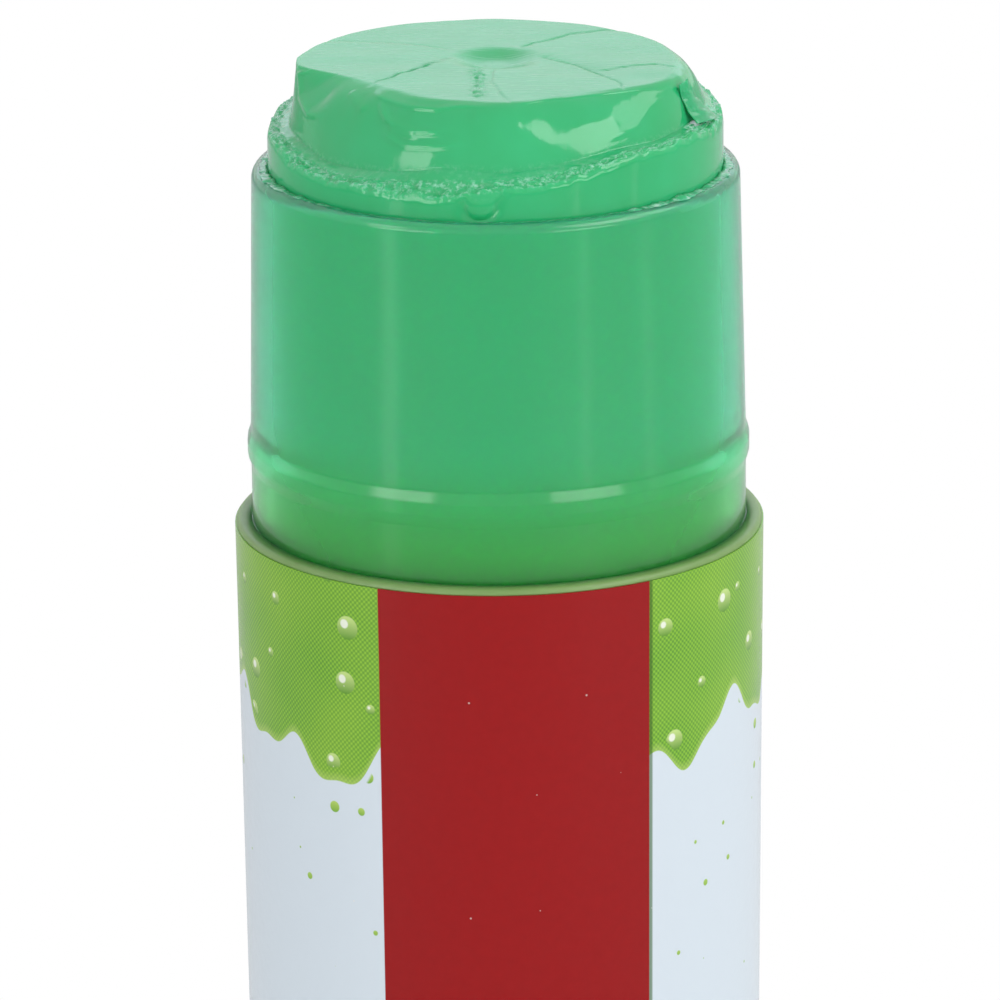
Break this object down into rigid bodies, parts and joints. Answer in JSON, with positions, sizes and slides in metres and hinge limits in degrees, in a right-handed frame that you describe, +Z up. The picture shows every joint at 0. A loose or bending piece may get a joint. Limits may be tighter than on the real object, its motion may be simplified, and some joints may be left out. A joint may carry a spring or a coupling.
{
  "type": "glue stick",
  "caption": "Twist-up glue stick without its cap: ribbed turning base, labelled barrel with a thinner snap-bead neck, and a worn column of glue raised above the rim.",
  "frame": {"origin": "centre of the foot of the turning base, on the surface it stands on", "axes": "+Z up the stick, towards the glue; -Y towards the front of the label, the side seen in the picture; +X to the right of that side"},
  "size_m": [0.03, 0.03, 0.0982],
  "materials": {
    "barrel_plastic": "natural polypropylene, moulded smooth, see-through enough to show the glue behind it",
    "label_film": "printed film, semi-gloss",
    "knob_plastic": "coloured polypropylene, moulded smooth",
    "inner_plastic": "natural polypropylene",
    "glue_gel": "firm translucent gel, moist and glossy"
  },
  "bodies": {
    "barrel": {"barrel": "barrel_plastic", "label": "label_film"},
    "knob": {"knob": "knob_plastic", "spindle": "inner_plastic"},
    "carrier": {"carrier": "inner_plastic", "glue": "glue_gel"}
  },
  "joints": [
    {"name": "knob_turn", "type": "hinge", "parent": "barrel", "child": "knob", "pos_m": [0, 0, 0], "axis": [0, 0, 1], "range_deg": [-676, 4366]},
    {"name": "carrier_slide", "type": "slide", "parent": "barrel", "child": "carrier", "axis": [0, 0, 1], "range_m": [-0.0075, 0.0485]}
  ],
  "couplings": [
    {"joint": "knob_turn", "follows": "carrier_slide", "rad_per_m": 1570.8}
  ]
}
